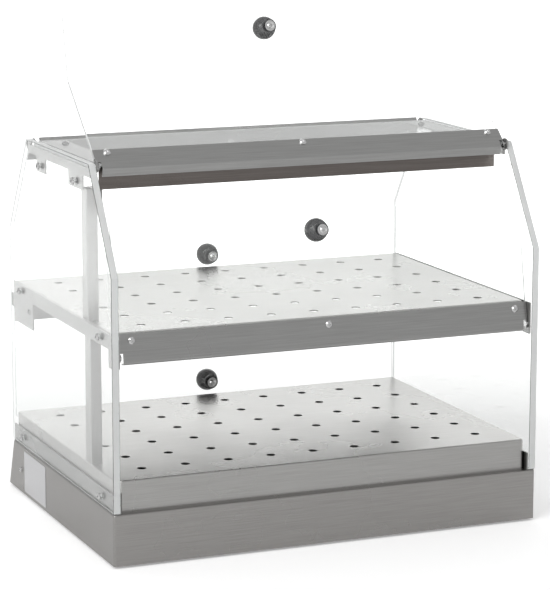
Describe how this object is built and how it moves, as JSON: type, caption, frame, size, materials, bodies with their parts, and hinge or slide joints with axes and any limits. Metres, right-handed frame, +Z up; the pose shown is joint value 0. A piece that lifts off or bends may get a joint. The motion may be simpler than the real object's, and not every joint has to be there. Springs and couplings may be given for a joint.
{
  "type": "heated display case",
  "caption": "Counter-top heated display case: sheet-metal base, clear acrylic sides and top, perforated deck and shelf, and lifting acrylic flaps with ball knobs front and rear.",
  "frame": {"origin": "centre of the bounding box on the floor, under the feet, in the rest pose", "axes": "+X to the right seen from the front, +Y from the front flaps to the rear flaps, +Z up"},
  "size_m": [0.5048, 0.3886, 0.5702],
  "materials": {
    "clear_acrylic": "polished, clear",
    "black_plastic": "polished",
    "polished_steel": "polished",
    "brushed_steel": "fine brushed",
    "folded_steel": "satin",
    "duct_steel": "satin",
    "black_rubber": "matte",
    "label_aluminium": "satin, blank",
    "inner_steel": "dull",
    "lamp_diffuser": "frosted",
    "amber_lens": "clear amber",
    "matte_black": "matte"
  },
  "bodies": {
    "case": {"base_floor": "brushed_steel", "base_heater": "inner_steel", "base_housing": "brushed_steel", "cable_gland": "matte_black", "control_panel": "brushed_steel", "cross_rail_rivets": "polished_steel", "deck_tray": "brushed_steel", "element_combs": "inner_steel", "feet": "black_rubber", "front_cross_rail": "folded_steel", "housing_screws": "polished_steel", "label_plate": "label_aluminium", "lamp_strip": "lamp_diffuser", "pilot_lamp": "amber_lens", "sensor_bulb": "inner_steel", "shelf_bar_left": "folded_steel", "shelf_bar_right": "folded_steel", "shelf_bar_screws": "polished_steel", "shelf_tray": "brushed_steel", "side_panel_left": "clear_acrylic", "side_panel_right": "clear_acrylic", "side_rail_left": "folded_steel", "side_rail_right": "folded_steel", "side_rail_screws": "polished_steel", "switch_body": "matte_black", "terminal_block": "matte_black", "thermostat_body": "matte_black", "top_panel": "clear_acrylic", "top_panel_screws": "polished_steel", "upper_bracket_left": "folded_steel", "upper_bracket_right": "folded_steel", "upper_bracket_screws": "polished_steel", "wiring_duct_lower": "duct_steel", "wiring_duct_upper": "duct_steel"},
    "upper_front_flap": {"upper_front_flap_panel": "clear_acrylic", "upper_front_hinge_rail": "folded_steel", "upper_front_knob": "black_plastic", "upper_front_knob_screw": "polished_steel", "upper_front_pivot_pins": "polished_steel", "upper_front_rail_screws": "polished_steel"},
    "lower_front_flap": {"lower_front_flap_panel": "clear_acrylic", "lower_front_hinge_rail": "folded_steel", "lower_front_knob": "black_plastic", "lower_front_knob_screw": "polished_steel", "lower_front_pivot_pins": "polished_steel", "lower_front_rail_screws": "polished_steel"},
    "upper_rear_flap": {"upper_rear_flap_panel": "clear_acrylic", "upper_rear_hinge_rail": "folded_steel", "upper_rear_knob": "black_plastic", "upper_rear_knob_screw": "polished_steel", "upper_rear_pivot_pins": "polished_steel", "upper_rear_rail_screws": "polished_steel"},
    "lower_rear_flap": {"lower_rear_flap_panel": "clear_acrylic", "lower_rear_hinge_rail": "folded_steel", "lower_rear_knob": "black_plastic", "lower_rear_knob_screw": "polished_steel", "lower_rear_pivot_pins": "polished_steel", "lower_rear_rail_screws": "polished_steel"},
    "thermostat_dial": {"thermostat_knob": "black_plastic"},
    "rocker_lever": {"rocker": "matte_black"}
  },
  "joints": [
    {"name": "upper_front_flap_hinge", "type": "hinge", "parent": "case", "child": "upper_front_flap", "pos_m": [0, -0.12475, 0.419], "axis": [1, 0, 0], "range_deg": [0, 193]},
    {"name": "lower_front_flap_hinge", "type": "hinge", "parent": "case", "child": "lower_front_flap", "pos_m": [0, -0.18675, 0.2255], "axis": [1, 0, 0], "range_deg": [0, 189.5]},
    {"name": "upper_rear_flap_hinge", "type": "hinge", "parent": "case", "child": "upper_rear_flap", "pos_m": [0, 0.09275, 0.4165], "axis": [1, 0, 0], "range_deg": [0, 165]},
    {"name": "lower_rear_flap_hinge", "type": "hinge", "parent": "case", "child": "lower_rear_flap", "pos_m": [0, 0.16225, 0.2255], "axis": [1, 0, 0], "range_deg": [0, 125]},
    {"name": "thermostat_turn", "type": "hinge", "parent": "case", "child": "thermostat_dial", "pos_m": [0.15, 0.17125, 0.0305], "axis": [0, 0.9396, 0.3423], "range_deg": [0, 270]},
    {"name": "rocker_tilt", "type": "hinge", "parent": "case", "child": "rocker_lever", "pos_m": [0.095, 0.17238, 0.03091], "axis": [1, 0, 0], "range_deg": [0, 9]}
  ]
}
